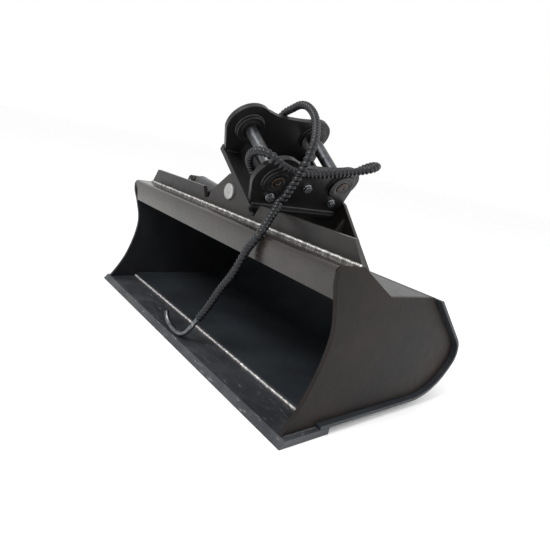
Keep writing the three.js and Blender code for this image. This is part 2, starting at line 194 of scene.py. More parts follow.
@dataclass(frozen=True)
class Finish:
    """A surface in three layers: broad patches, fine grain and streaks of wear; on the bright weld the
    patches and streaks are painted highlight.

    Args:
        name: what a maker calls it.
        slot: the record's material slot; not used.
        base: main colour.
        patch: colour of the broad patches.
        wear: colour of the streaks; on the bright weld, painted highlight.
        roughness: low and high end of the surface's roughness.
        metallic: how much of it is bare metal.
        patch_size: width of the patches in millimetres.
        grain_size: width of the grain in millimetres.
        worn: share of the surface that the streaks cover.
        relief: height of the grain in millimetres.
        coat: strength of a clear coat.
        shine: strength of the reflection where there is no metal.
    """

    name: str
    slot: str
    base: str
    patch: str
    wear: str
    roughness: tuple[float, float]
    metallic: float = 0.0
    patch_size: float = 120
    grain_size: float = 2
    worn: float = 0.2
    relief: float = 0.12
    coat: float = 0.0
    shine: float = 0.32

    STREAK_SIZE = 36  # width of a streak in millimetres
    STREAK_STRETCH = (1.0, 6.0, 1.0)  # streaks are six times narrower from front to back
    EDGE_OF_WEAR = 0.12  # how softly a streak fades out

    def material(self) -> bpy.types.Material:
        """Builds the material, or finds it if it has been built.

        Returns:
            The material.
        """
        if self.name in bpy.data.materials:
            return bpy.data.materials[self.name]
        made = bpy.data.materials.new(self.name)
        made.use_nodes = True
        tree = made.node_tree
        tree.nodes.clear()
        spot = add_node(tree, "ShaderNodeTexCoord", {}).outputs["Object"]
        shader = add_node(
            tree,
            "ShaderNodeBsdfPrincipled",
            {
                "Base Color": self.colour(tree, spot),
                "Metallic": self.metallic,
                "Roughness": self.sheen(tree, spot),
                "Specular IOR Level": self.shine,
                "Coat Weight": self.coat,
                "Coat Roughness": 0.2,
                "Normal": self.grain(tree, spot),
            },
        )
        add_node(tree, "ShaderNodeOutputMaterial", {"Surface": shader.outputs[0]})
        return made

    def streaks(self, tree: bpy.types.NodeTree, spot: bpy.types.NodeSocket) -> bpy.types.NodeSocket:
        """Draws the streaks that colour and roughness share, as noise stretched from side to side.

        Args:
            tree: the material's nodes.
            spot: the place on the object.

        Returns:
            Their strength.
        """
        stretched = add_node(tree, "ShaderNodeMapping", {"Vector": spot, "Scale": self.STREAK_STRETCH})
        noise = {"Vector": stretched.outputs[0], "Detail": 8.0, "Roughness": 0.7}
        noise["Scale"] = round(1 / (self.STREAK_SIZE * MM))
        return add_node(tree, "ShaderNodeTexNoise", noise).outputs[0]

    def colour(self, tree: bpy.types.NodeTree, spot: bpy.types.NodeSocket) -> bpy.types.NodeSocket:
        """Mixes the main colour with the patches, and both with the streaks.

        Args:
            tree: the material's nodes.
            spot: the place on the object.

        Returns:
            The colour.
        """
        noise = {"Vector": spot, "Scale": 1 / (self.patch_size * MM), "Detail": 6.0, "Roughness": 0.62}
        broad = add_node(tree, "ShaderNodeTexNoise", noise).outputs[0]
        patches = add_node(tree, "ShaderNodeMapRange", {"Value": broad, "From Min": 0.38, "From Max": 0.66})
        edge = 0.72 - 0.3 * self.worn
        limits = {"From Min": edge, "From Max": edge + self.EDGE_OF_WEAR}
        wear = add_node(tree, "ShaderNodeMapRange", {"Value": self.streaks(tree, spot), **limits})
        colours = {0: patches.outputs[0], 6: linear(self.base), 7: linear(self.patch)}
        mottled = add_node(tree, "ShaderNodeMix", colours, data_type="RGBA")
        colours = {0: wear.outputs[0], 6: mottled.outputs[2], 7: linear(self.wear)}
        return add_node(tree, "ShaderNodeMix", colours, data_type="RGBA").outputs[2]

    def sheen(self, tree: bpy.types.NodeTree, spot: bpy.types.NodeSocket) -> bpy.types.NodeSocket:
        """Spreads the roughness over its range along the streaks.

        Args:
            tree: the material's nodes.
            spot: the place on the object.

        Returns:
            The roughness.
        """
        low, high = self.roughness
        limits = {"From Min": 0.3, "From Max": 0.7, "To Min": low, "To Max": high}
        rough = add_node(tree, "ShaderNodeMapRange", {"Value": self.streaks(tree, spot), **limits})
        return rough.outputs[0]

    def grain(self, tree: bpy.types.NodeTree, spot: bpy.types.NodeSocket) -> bpy.types.NodeSocket:
        """Raises the grain as a bump.

        Args:
            tree: the material's nodes.
            spot: the place on the object.

        Returns:
            The normal.
        """
        noise = {"Vector": spot, "Scale": 1 / (self.grain_size * MM), "Detail": 3.0, "Roughness": 0.5}
        height = add_node(tree, "ShaderNodeTexNoise", noise).outputs[0]
        bump = {"Height": height, "Strength": 0.6, "Distance": self.relief * MM}
        return add_node(tree, "ShaderNodeBump", bump).outputs[0]


# Sprayed enamel on hot-rolled plate: near-black and semi-gloss, with faint mottling from the mill scale.
SHELL = Finish("sprayed charcoal enamel", "shell_paint", "17181b", "202124", "3a3a3c", (0.32, 0.52))
# The same paint inside the bowl, duller and with long pale scuffs; its lighter, bluer colour is painted
# light.
INSIDE_PAINTED_LIGHT = Finish(
    "sprayed charcoal enamel, scuffed", "shell_paint", "212428", "2d3135", "4a4e51", (0.36, 0.56),
    patch_size=200, worn=0.3
)  # fmt: skip
# The near side plate's paint is flat; its brown tint, which the far plate in the same paint lacks, is painted
# light.
NEAR_SIDE_PAINTED_LIGHT = Finish(
    "sprayed brown-black enamel", "shell_paint", "221b18", "151312", "332c28", (0.42, 0.58),
    patch_size=350, shine=0.16
)  # fmt: skip
# Thin paint over a rolled steel blade, rubbed through to metal in streaks.
BLADE = Finish(
    "rolled blade steel, painted and worn", "shell_paint", "303236", "45474a", "8b8d8f", (0.28, 0.5),
    metallic=0.3, worn=0.45
)  # fmt: skip
# The folded beam is the glossiest plate: it mirrors the sky along its rounded edge.
BEAM = Finish(
    "sprayed brown-grey gloss enamel", "frame_paint", "2a2522", "1c1918", "625a54", (0.2, 0.36),
    coat=0.25, patch_size=160
)  # fmt: skip
# Brown-grey enamel on the uprights and lugs.
FRAME = Finish(
    "sprayed brown-grey enamel", "frame_paint", "23201e", "191818", "4a4541", (0.3, 0.48), coat=0.06
)  # fmt: skip
# Black enamel on the head's thick plates.
HEAD = Finish("sprayed black enamel", "head_paint", "121213", "1b1b1a", "3c3b39", (0.3, 0.5), coat=0.08)
# Smooth black paint on the drawn cylinder tube.
CYLINDER = Finish(
    "sprayed enamel on drawn tube", "head_paint", "17181a", "202224", "3c3d3e", (0.25, 0.4), coat=0.4
)  # fmt: skip
# Turned steel pins, oiled and dark grey, with soft bright bands.
PIN = Finish(
    "turned pin steel, oiled", "pin_steel", "5f6163", "45464a", "8f9192", (0.25, 0.42),
    metallic=0.95, patch_size=30, worn=0.5
)  # fmt: skip
# The pins' sawn ends carry a brown film of rust.
PIN_END = Finish(
    "sawn pin steel, rusted", "pin_steel", "6b5a4c", "52463d", "8c8078", (0.4, 0.6),
    metallic=0.6, patch_size=20
)  # fmt: skip
# The pivot pin's bare face is pale and dull.
DISC = Finish(
    "turned pivot steel, bare", "pin_steel", "a6a7a6", "8d8d8b", "c4c5c4", (0.34, 0.5),
    metallic=0.55, patch_size=30, worn=0.4
)  # fmt: skip
# Bright zinc plate on bolts, washers and fittings.
ZINC = Finish(
    "bright zinc plate, electroplated", "zinc", "c3c6c9", "a9acb0", "e2e4e6", (0.2, 0.36),
    metallic=0.95, patch_size=12, worn=0.35
)  # fmt: skip
# The hose tail's plating is darker and shinier.
TAIL_STEEL = Finish(
    "drawn steel tube, plated", "zinc", "6a6d70", "4c4e52", "b8babc", (0.18, 0.32),
    metallic=0.9, patch_size=20, worn=0.35
)  # fmt: skip
# Yellow passivated zinc on the swivel nut, golden with duller patches.
YELLOW = Finish(
    "zinc plate, yellow passivated", "yellow_zinc", "b88a3a", "9a7434", "d6b070", (0.22, 0.38),
    metallic=0.9, patch_size=10
)  # fmt: skip
# Hard chrome on the rod, almost a mirror.
CHROME = Finish(
    "hard chrome, electroplated", "chrome", "d8dadc", "c6c8ca", "eceded", (0.06, 0.14),
    metallic=1.0, relief=0.02
)  # fmt: skip
# Moulded black spiral guard, with small highlights on each turn.
HOSE = Finish(
    "moulded black spiral guard", "hose_rubber", "0d0e11", "16171b", "34363b", (0.22, 0.42),
    patch_size=30, grain_size=1.2
)  # fmt: skip
# Weld metal, silver-grey and rippled, with near-white patches and white streaks: painted highlight that makes
# the bead glitter.
WELD_PAINTED_HIGHLIGHT = Finish(
    "arc weld metal, bare", "frame_paint", "858280", "cfcdca", "ffffff", (0.22, 0.4),
    metallic=0.45, patch_size=12,
    grain_size=1.5, worn=0.5, relief=0.3,
)  # fmt: skip
# Painted-over weld metal: the same ripples in black.
DARK_WELD = Finish(
    "arc weld metal, painted", "head_paint", "232527", "313335", "5c5d5e", (0.3, 0.48),
    patch_size=12, grain_size=1.5,
    worn=0.4, relief=0.3, coat=0.2,
)  # fmt: skip
# Matt white floor, with no relief.
FLOOR = Finish(
    "matt white floor", "floor", "fefefe", "fcfcfc", "ffffff", (0.7, 0.9), patch_size=600, relief=0.0
)  # fmt: skip


# ---------------------------------------------------------------- meshes


def ring_faces(rings: int, sides: int, closed: bool) -> list[list[int]]:
    """Joins a row of rings: each face takes two neighbours on one ring and the same two on the next.

    Args:
        rings: number of rings.
        sides: points in each ring.
        closed: whether the last ring meets the first; if not, both ends get a cap.

    Returns:
        The point numbers of each face.
    """
    gaps = rings if closed else rings - 1
    i, j = np.meshgrid(np.arange(gaps), np.arange(sides), indexing="ij")
    near, far = i * sides, ((i + 1) % rings) * sides
    ahead = (j + 1) % sides
    faces = np.stack([near + j, near + ahead, far + ahead, far + j], axis=-1).reshape(-1, 4).tolist()
    if not closed:
        faces += [list(range(sides)), list(range((rings - 1) * sides, rings * sides))]
    return faces


def mesh_object(name: str, points: np.ndarray, faces: list[list[int]], finish: Finish) -> bpy.types.Object:
    """Makes a smooth-shaded object whose faces point outwards.

    Args:
        name: the object's name.
        points: its points in the row frame.
        faces: point numbers of each face.
        finish: its surface.

    Returns:
        The object, in the scene.
    """
    mesh = bpy.data.meshes.new(name)
    mesh.from_pydata(points.tolist(), [], faces)
    work = bmesh.new()
    work.from_mesh(mesh)
    bmesh.ops.recalc_face_normals(work, faces=work.faces)
    work.to_mesh(mesh)
    work.free()
    mesh.shade_smooth()
    mesh.set_sharp_from_angle(angle=radians(38))
    mesh.materials.append(finish.material())
    made = bpy.data.objects.new(name, mesh)
    bpy.context.scene.collection.objects.link(made)
    return made


def round_bar(radius: float, start: float, end: float, edge: float) -> Profile:
    """The profile of a bar with chamfered ends.

    Args:
        radius: the bar's radius.
        start: where it starts along its axis.
        end: where it ends.
        edge: width of the chamfers.

    Returns:
        Radius and distance along the axis, in millimetres.
    """
    return [(radius - edge, start), (radius, start + edge), (radius, end - edge), (radius - edge, end)]


def collar(bore: float, radius: float, start: float, end: float, edge: float) -> Profile:
    """The profile of a collar or tube with chamfered outer edges.

    Args:
        bore: radius of its bore.
        radius: its outer radius.
        start: where it starts along its axis.
        end: where it ends.
        edge: width of the chamfers.

    Returns:
        Radius and distance along the axis, in millimetres.
    """
    return [(bore, start), *round_bar(radius, start, end, edge), (bore, end)]


@dataclass
class Lathe:
    """Turns profiles about one axis.

    Args:
        centre: the axis's zero point in the row frame.
        axis: its direction.
        sides: points in each ring.
    """

    centre: Point
    axis: Point
    sides: int = 72

    def turn(self, name: str, profile: Profile, finish: Finish, hollow: bool = False) -> bpy.types.Object:
        """Makes a turned piece: each point is the centre, plus the profile's distance along the axis, plus
        its radius times a spoke that goes once round.

        Args:
            name: the piece's name.
            profile: radius and distance along the axis, in millimetres.
            finish: its surface.
            hollow: whether the profile closes on itself round a bore.

        Returns:
            The piece.
        """
        radius, along = np.array(profile, float).T * MM
        line = np.array(Vector(self.axis).normalized())
        side = np.cross(line, (0.0, 0.0, 1.0))
        side /= np.linalg.norm(side)
        up = np.cross(line, side)
        angle = np.linspace(0, 2 * pi, self.sides, endpoint=False)
        spoke = np.cos(angle)[:, None] * side + np.sin(angle)[:, None] * up
        points = np.array(self.centre) + along[:, None, None] * line + radius[:, None, None] * spoke[None]
        faces = ring_faces(len(radius), self.sides, hollow)
        return mesh_object(name, points.reshape(-1, 3), faces, finish)


def length_of(line: np.ndarray) -> np.ndarray:
    """Measures a line.

    Args:
        line: its points.

    Returns:
        The distance of each point from the first, along the line.
    """
    return np.concatenate([[0], np.cumsum(np.linalg.norm(np.diff(line, axis=0), axis=1))])


def smooth_line(points: Sequence[Point], step: float) -> np.ndarray:
    """Draws a curve through points: between two of them it is a cubic that leaves and arrives in directions
    weighted by the square roots of the neighbouring gaps.

    Args:
        points: what it passes through, in the row frame.
        step: distance between samples in millimetres.

    Returns:
        Evenly spaced samples, first and last points included.
    """
    given = np.array(points, float)
    ends = np.vstack([2 * given[0] - given[1], given, 2 * given[-1] - given[-2]])
    p0, p1, p2, p3 = ends[:-3], ends[1:-2], ends[2:-1], ends[3:]
    pairs = ((p0, p1), (p1, p2), (p2, p3))
    d0, d1, d2 = [np.linalg.norm(b - a, axis=1, keepdims=True) ** 0.5 for a, b in pairs]
    leave = ((p1 - p0) / d0 - (p2 - p0) / (d0 + d1) + (p2 - p1) / d1) * d1
    arrive = ((p2 - p1) / d1 - (p3 - p1) / (d1 + d2) + (p3 - p2) / d2) * d1
    t = np.linspace(0, 1, 24, endpoint=False)[None, :, None]
    p1, p2, leave, arrive = (a[:, None, :] for a in (p1, p2, leave, arrive))
    curve = (2 * t**3 - 3 * t**2 + 1) * p1 + (t**3 - 2 * t**2 + t) * leave
    curve = (curve + (3 * t**2 - 2 * t**3) * p2 + (t**3 - t**2) * arrive).reshape(-1, 3)
    curve = np.vstack([curve, given[-1]])
    run = length_of(curve)
    even = np.linspace(0, run[-1], max(int(run[-1] / (step * MM)), 4))
    return np.stack([np.interp(even, run, curve[:, k]) for k in range(3)], axis=1)


@dataclass(frozen=True)
class Sweep:
    """A round section carried along a line, with ripples across it or a ridge wound round it.

    Args:
        radius: outer radius in millimetres.
        pitch: distance between ridges in millimetres.
        depth: depth between ridges as a share of the radius.
        turns: 1 winds the ridge round as a helix, 0 leaves it as ripples.
        sides: points in each ring.
    """

    radius: float
    pitch: float
    depth: float
    turns: float = 0.0
    sides: int = 20

    def along(self, name: str, line: np.ndarray, finish: Finish) -> bpy.types.Object:
        """Makes the piece: each ring stands square to the line, and its radius falls from the full one by
        the depth times the square of a wave that runs with the distance along the line, less the angle
        round it.

        Args:
            name: the piece's name.
            line: evenly spaced points in the row frame.
            finish: its surface.

        Returns:
            The piece.
        """
        tangent = np.gradient(line, axis=0)
        tangent /= np.linalg.norm(tangent, axis=1, keepdims=True)
        normal = self.untwisted(tangent)
        binormal = np.cross(tangent, normal)
        angle = np.linspace(0, 2 * pi, self.sides, endpoint=False)[None, :]
        distance = length_of(line)[:, None]
        wave = 0.5 - 0.5 * np.cos(2 * pi * distance / (self.pitch * MM) - self.turns * angle)
        reach = self.radius * MM * (1 - self.depth * wave**2)
        spoke = np.cos(angle)[..., None] * normal[:, None] + np.sin(angle)[..., None] * binormal[:, None]
        points = line[:, None] + reach[..., None] * spoke
        faces = ring_faces(len(line), self.sides, False)
        return mesh_object(name, points.reshape(-1, 3), faces, finish)

    @staticmethod
    def untwisted(tangent: np.ndarray) -> np.ndarray:
        """Finds a direction square to the line for each ring: the last ring's, less its part along the line.

        Args:
            tangent: the line's direction at each ring.

        Returns:
            The directions.
        """
        normal = np.zeros_like(tangent)
        start = np.cross(tangent[0], (0.31, 0.45, 0.84))
        normal[0] = start / np.linalg.norm(start)
        for i in range(1, len(tangent)):
            kept = normal[i - 1] - tangent[i] * (normal[i - 1] @ tangent[i])
            normal[i] = kept / np.linalg.norm(kept)
        return normal


@dataclass
class Assembly:
    """A set of pieces that ride on one body.

    Args:
        body: the body its pieces ride on.
    """

    frame: dict
    body: Body = Body.BUCKET

    BEAD_STEP = 1.3  # distance between a bead's rings in millimetres
    BEAD_PITCH = 6.2  # distance between a bead's ripples in millimetres
    BEAD_SWAY = 0.08  # how far a bead wanders, as a share of its radius
    SWAY_RATES = (0.31, 0.47, 0.23)  # radians per ring along X, Y and Z

    def plate(self, node: str, finish: Finish, edge: float = 1.2) -> bpy.types.Object:
        """Stands in for a CAD node with a copy whose edges are rounded.

        Args:
            node: the CAD node.
            finish: the copy's surface.
            edge: width of the rounded edges in millimetres.

        Returns:
            The copy.
        """
        mesh = self.frame["nodes"][node].data.copy()
        work = bmesh.new()
        work.from_mesh(mesh)
        bmesh.ops.remove_doubles(work, verts=work.verts, dist=0.01 * MM)
        bmesh.ops.dissolve_limit(work, angle_limit=radians(0.8), verts=work.verts, edges=work.edges)
        work.to_mesh(mesh)
        work.free()
        if "custom_normal" in mesh.attributes:
            mesh.attributes.remove(mesh.attributes["custom_normal"])
        mesh.shade_smooth()
        mesh.materials.clear()
        mesh.materials.append(finish.material())
        made = bpy.data.objects.new(f"{node}_shape", mesh)
        bpy.context.scene.collection.objects.link(made)
        bevel = made.modifiers.new("rounded edges", "BEVEL")
        bevel.width, bevel.segments = edge * MM, 2
        bevel.limit_method, bevel.angle_limit = "ANGLE", radians(36)
        bevel.harden_normals = True
        return self.stand_in(made, node)

    def plates(self, finish: Finish, edge: float, *nodes: str) -> None:
        """Stands in for several CAD nodes of one finish.

        Args:
            finish: the copies' surface.
            edge: width of the rounded edges in millimetres.
            *nodes: the CAD nodes.
        """
        for node in nodes:
            self.plate(node, finish, edge)

    def turned(self, lathe: Lathe, node: str, profile: Profile, finish: Finish, hollow: bool = False) -> None:
        """Stands in for a CAD node with a turned piece.

        Args:
            lathe: the piece's axis.
            node: the CAD node.
            profile: radius and distance along the axis, in millimetres.
            finish: the piece's surface.
            hollow: whether the profile closes on itself round a bore.
        """
        self.stand_in(lathe.turn(f"{node}_shape", profile, finish, hollow), node)

    def stand_in(self, made: bpy.types.Object, *nodes: str) -> bpy.types.Object:
        """Lets a piece ride on this assembly's body in place of CAD nodes.

        Args:
            made: the piece.
            *nodes: the CAD nodes it stands for, if any.

        Returns:
            The piece.
        """
        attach(made, self.body.value)
        if nodes:
            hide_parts(*nodes)
        log.info("made %s", made.name)
        return made

    def weld(self, name: str, points: Sequence[Point], radius: float, finish: Finish) -> None:
        """Lays a rippled weld bead that wanders a little from side to side.

        Args:
            name: the bead's name.
            points: what it runs through, in the row frame.
            radius: its radius in millimetres.
            finish: its surface.
        """
        line = smooth_line(points, self.BEAD_STEP)
        sway = np.arange(len(line))[:, None] * np.array(self.SWAY_RATES)
        line = line + np.sin(sway) * radius * MM * self.BEAD_SWAY
        bead = Sweep(radius, self.BEAD_PITCH, depth=0.22, sides=10)
        self.stand_in(bead.along(name, line, finish))

    def ring_weld(self, name: str, centre: Point, axis: Point, radius: float) -> None:
        """Lays a painted bead round a boss: the centre plus the radius times a spoke that goes once round.

        Args:
            name: the bead's name.
            centre: middle of the circle in the row frame.
            axis: the boss's direction.
            radius: the circle's radius in millimetres.
        """
        line = np.array(Vector(axis).normalized())
        side = np.cross(line, (0.0, 1.0, 0.0) if abs(line[1]) < 0.9 else (1.0, 0.0, 0.0))
        side /= np.linalg.norm(side)
        angle = np.linspace(0, 2 * pi, 25)[:, None]
        spoke = np.cos(angle) * side + np.sin(angle) * np.cross(line, side)
        self.weld(name, (np.array(centre) + radius * MM * spoke).tolist(), 3, DARK_WELD)


# ---------------------------------------------------------------- sub-assemblies


@dataclass
class Bowl(Assembly):
    """The blade, wrapper, side plates and heel strips.

    Args:
        side_face: half the distance over the side plates.
        inner_face: half the distance between them.
        lap: how far back the wrapper's front edge is.
        blade_top: height of the blade's upper face.
        floor: height of the bowl's floor.
    """

    side_face: float = 600
    inner_face: float = 588
    lap: float = 113
    blade_top: float = 20
    floor: float = 30

    def build(self) -> None:
        """Makes the bowl's pieces."""
        self.plates(BLADE, 1.5, "base_edge")
        # The wrapper's lighter, bluer colour is painted light.
        self.plates(INSIDE_PAINTED_LIGHT, 1.2, "wrapper")
        self.plates(SHELL, 1.8, "side_plate_left")
        # The near side plate's brown tint is painted light.
        self.plates(NEAR_SIDE_PAINTED_LIGHT, 1.8, "side_plate_right")
        self.plates(SHELL, 1.2, "heel_strip_1", "heel_strip_2")
        self.welds()

    def welds(self) -> None:
        """Lays the beads along the floor's lap and the side plates' feet."""
        end = self.inner_face - 2
        lap = [place((x, self.lap - 1, self.blade_top + 1)) for x in (-end, -200, 200, end)]
        # The lap bead's near-white patches and white streaks are painted highlight.
        self.weld("floor_weld", lap, 5, WELD_PAINTED_HIGHLIGHT)
        for side in Side:
            outside = side.value * (self.side_face + 2)
            foot = [place((outside, y, self.blade_top - 0.5)) for y in (4, 50, 110)]
            self.weld(f"side_foot_weld_{side.word}", foot, 4, DARK_WELD)
            inside = side.value * (self.inner_face - 1.5)
            seam = [place((inside, y, self.floor + 1)) for y in (120, 300, 495)]
            self.weld(f"side_floor_weld_{side.word}", seam, 3.5, DARK_WELD)


@dataclass
class TopFrame(Assembly):
    """The box beam over the mouth, the two uprights with their pivot, and the cylinder's lugs.

    Args:
        pin_r: radius of the pivot pin.
        pin_face: how far back the pivot pin's front face is.
        boss_r: radius of the pivot's bosses.
        boss_length: their length.
        front_boss: how far back the front boss starts.
        rear_boss: how far back the rear boss starts.
    """

    pin_r: float = 26
    pin_face: float = 132
    boss_r: float = 44
    boss_length: float = 20
    front_boss: float = 155.3
    rear_boss: float = 475.7

    def build(self) -> None:
        """Makes the frame's pieces."""
        self.plates(FRAME, 1.2, "deck_plate")
        self.plates(BEAM, 1.0, "top_beam")
        self.plates(FRAME, 1.5, "front_upright", "rear_upright", "front_gusset_left", "front_gusset_right")
        self.plates(FRAME, 1.2, "rear_gusset_left", "rear_gusset_right")
        self.plates(FRAME, 1.2, "cylinder_lug_front", "cylinder_lug_rear")
        self.plates(ZINC, 0.8, "pivot_cap_bolt")
        self.pivot()
        base = Lathe((CYL_BASE_X * MM, -HALF_DEPTH, CYL_BASE_Z * MM), BACKWARDS)
        self.turned(base, "cylinder_base_pin", round_bar(12.5, 218, 302, 2), PIN)
        self.welds()

    def pivot(self) -> None:
        """Makes the pivot pin, with a centre hole in its face, its two bosses and its end cap."""
        lathe = Lathe((0.0, -HALF_DEPTH, PIVOT_Z * MM), BACKWARDS)
        face, end = self.pin_face, 514
        pin = [(2, face), (5, face + 0.6), (6, face + 2), (8, face + 1)]
        pin += [(self.pin_r - 3, face), (self.pin_r, face + 2), (self.pin_r, end - 2), (self.pin_r - 2, end)]
        self.turned(lathe, "pivot_pin", pin, DISC)
        for word, start, weld_y in (
            ("front", self.front_boss, self.front_boss),
            ("rear", self.rear_boss, self.rear_boss + self.boss_length),
        ):
            boss = collar(self.pin_r + 0.5, self.boss_r, start, start + self.boss_length, 1.5)
            node = f"pivot_boss_{word}"
            self.turned(lathe, node, boss, FRAME, hollow=True)
            self.ring_weld(f"{node}_weld", place((0, weld_y, PIVOT_Z)), BACKWARDS, self.boss_r)
        cap = [(36, end + 0.3), (38, end + 2), (38, end + 8), (36, end + 10)]
        self.turned(lathe, "pivot_end_cap", cap, FRAME)

    def welds(self) -> None:
        """Lays the bead at the front upright's foot, made bright by painted highlight, and the painted-over
        ones behind it.
        """
        front = [place((x, 138.5, 437.5)) for x in (-596, -250, 100, 350, 596)]
        # This bead's near-white patches and white streaks are painted highlight.
        self.weld("upright_weld", front, 5, WELD_PAINTED_HIGHLIGHT)
        for name, ends, y, z in (
            ("upright_back_weld", 580, 157, 433.5),
            ("beam_foot_weld", 580, 276, 355),
            ("rear_foot_weld", 334, 494.5, 343.5),
        ):
            self.weld(name, [place((x, y, z)) for x in (-ends, 0, ends)], 3.5, DARK_WELD)


@dataclass
class TiltHead(Assembly):
    """The leaning head: base plate, ears, bosses, pins and the webs round the pivot.

    Args:
        ear_inner: half the distance between the ears.
        ear_outer: half the distance over them.
        boss_r: radius of the bosses.
        boss_proud: how far a boss stands out from each face of its ear.
        pin_r: radius of the dipper pin and the link pin.
        pin_end: half the length of those pins.
    """

    body: Body = Body.HEAD
    ear_inner: float = 104
    ear_outer: float = 120
    boss_r: float = 46
    boss_proud: float = 12
    pin_r: float = 20
    pin_end: float = 134

    ACROSS = (cos(TILT), 0.0, -sin(TILT))  # the direction of the head's pins
    PINS = {"dipper": (158, 180), "link": (413, 198)}  # how far back and above the pivot

    def build(self) -> None:
        """Makes the head's pieces."""
        self.plates(HEAD, 1.5, "head_base_plate")
        self.plates(HEAD, 1.8, "ear_left", "ear_right")
        self.plates(HEAD, 1.2, "cross_plate_front", "cross_plate_rear")
        self.plates(HEAD, 1.2, "cylinder_web_front", "cylinder_web_rear", "hub_web_rear")
        self.plates(ZINC, 0.8, "ear_bolt_1", "ear_bolt_2", "ear_bolt_3")
        for name, (back, up) in self.PINS.items():
            self.pin(name, back, up)
        pivot = Lathe((0.0, -HALF_DEPTH, PIVOT_Z * MM), BACKWARDS)
        self.turned(pivot, "pivot_tube", collar(26.3, 34, 176, 475, 1), HEAD, hollow=True)
        for side in Side:
            for face in (self.ear_inner - 1, self.ear_outer + 1):
                foot = [on_head((side.value * face, back, 78)) for back in (126, 300, 480)]
                self.weld(f"ear_foot_weld_{side.word}_{face}", foot, 3.5, DARK_WELD)

    def pin(self, name: str, back: float, up: float) -> None:
        """Makes a pin, its rusty end and its two bosses with their beads.

        Args:
            name: the pin's name.
            back: how far back it is.
            up: how far above the pivot's axis it is.
        """
        lathe = Lathe(on_head((0, back, up)), self.ACROSS)
        r, end = self.pin_r, self.pin_end
        bar = [(4, 0.5 - end), (r - 2, -end), (r, 2 - end), (r, end - 2), (r - 2, end)]
        bar += [(9, end), (7, end - 2), (4, end - 2)]
        self.turned(lathe, f"{name}_pin", bar, PIN)
        for side in Side:
            node = f"{name}_boss_{side.word}"
            self.turned(lathe, node, self.boss(side), HEAD, hollow=True)
            for face in (self.ear_inner, self.ear_outer):
                at = on_head((side.value * face, back, up))
                self.ring_weld(f"{node}_weld_{face}", at, self.ACROSS, self.boss_r + 0.6)
        film = [(8, end), (r - 1, end), (r + 0.2, end - 0.6), (r + 0.2, end - 1.6), (8, end - 1.6)]
        self.stand_in(lathe.turn(f"{name}_pin_end", film, PIN_END, hollow=True))

    def boss(self, side: Side) -> Profile:
        """Draws a boss with a fine groove in one face.

        Args:
            side: the ear it sits in.

        Returns:
            Radius and distance along the pin, in millimetres.
        """
        inner, outer = self.ear_inner - self.boss_proud, self.ear_outer + self.boss_proud
        low, high = sorted((side.value * inner, side.value * outer))
        bore, rim = self.pin_r + 0.4, self.boss_r
        outline = [(bore, low + 1), (bore + 1.6, low), (rim - 2, low), (rim, low + 2), (rim, high - 2)]
        groove = [(rim - 2, high), (34, high), (33, high - 0.8), (32, high)]
        return outline + groove + [(bore + 1.6, high), (bore, high - 1)]


@dataclass
class TiltCylinder(Assembly):
    """The cylinder's barrel, its rod, and the fittings on its ports.

    Args:
        tube_r: radius of the tube.
        bore_r: radius of its bore.
        rod_r: radius of the rod.
        pin_r: radius of the rod pin.
        tube_start: where the tube starts along the cylinder.
        tube_end: where it ends.
        eye: distance between the cylinder's two pins.
    """

    body: Body = Body.BARREL
    tube_r: float = 32
    bore_r: float = 25
    rod_r: float = 15
    pin_r: float = 12.5
    tube_start: float = 40
    tube_end: float = 242
    eye: float = 387.1

    ALONG = (cos(CYL_SLOPE), 0.0, sin(CYL_SLOPE))

    def build(self) -> None:
        """Makes the pieces of the barrel and the rod."""
        self.plates(CYLINDER, 0.8, "cylinder_base_eye", "port_boss_base", "port_boss_rod")
        self.plates(ZINC, 0.5, "elbow_base", "rod_port_fitting")
        self.plates(YELLOW, 0.6, "swivel_nut_base")
        lathe = Lathe(on_barrel((0, 0, 0)), self.ALONG)
        tube = collar(self.bore_r, self.tube_r, self.tube_start, self.tube_end, 1)
        self.turned(lathe, "cylinder_tube", tube, CYLINDER, hollow=True)
        self.turned(lathe, "cylinder_gland", self.gland(), CYLINDER, hollow=True)
        hose_line = Lathe(on_barrel((0, -56.3, 0)), self.ALONG)
        self.turned(hose_line, "ferrule_base", self.ferrule(), ZINC)
        self.rod(lathe)

    def gland(self) -> Profile:
        """Draws the gland with a spanner groove round its middle."""
        bore, start, end = self.rod_r + 0.3, self.tube_end + 0.3, self.tube_end + 24
        outline = [(bore, start), (33, start), (34, start + 1.2), (34, 252), (33, 253), (33, 255), (34, 256)]
        return outline + [(34, end - 2), (32, end), (bore, end)]

    @staticmethod
    def ferrule() -> Profile:
        """Draws the crimped ferrule with its two rolled grooves."""
        outline = [(10, 118.3), (12.5, 119)]
        for groove in (126, 135):
            outline += [(12.5, groove - 1), (11.7, groove), (12.5, groove + 1)]
        return outline + [(12.5, 143), (10.5, 144)]

    def rod(self, lathe: Lathe) -> None:
        """Makes the rod, its piston, its eye and its pin with two washers.

        Args:
            lathe: the cylinder's axis.
        """
        rod = Assembly(self.frame, Body.ROD)
        rod.plates(CYLINDER, 0.8, "rod_eye")
        r = self.rod_r
        rod.turned(lathe, "cylinder_rod", [(r - 1, 56), (r, 57), (r, 346), (r - 1, 347.1)], CHROME)
        piston = [(r + 0.3, 60), (self.bore_r - 0.3, 60), (self.bore_r - 0.3, 90), (r + 0.3, 90)]
        rod.turned(lathe, "cylinder_piston", piston, PIN, hollow=True)
        eye = Lathe(on_barrel((self.eye, 0, 0)), BACKWARDS)
        rod.turned(eye, "rod_pin", round_bar(self.pin_r, -44, 44, 1.5), PIN)
        for word, start in (("front", -38), ("rear", 34.6)):
            washer = collar(self.pin_r + 0.4, 31, start, start + 3.4, 0.6)
            rod.turned(eye, f"rod_pin_washer_{word}", washer, ZINC, hollow=True)


# ---------------------------------------------------------------- hoses

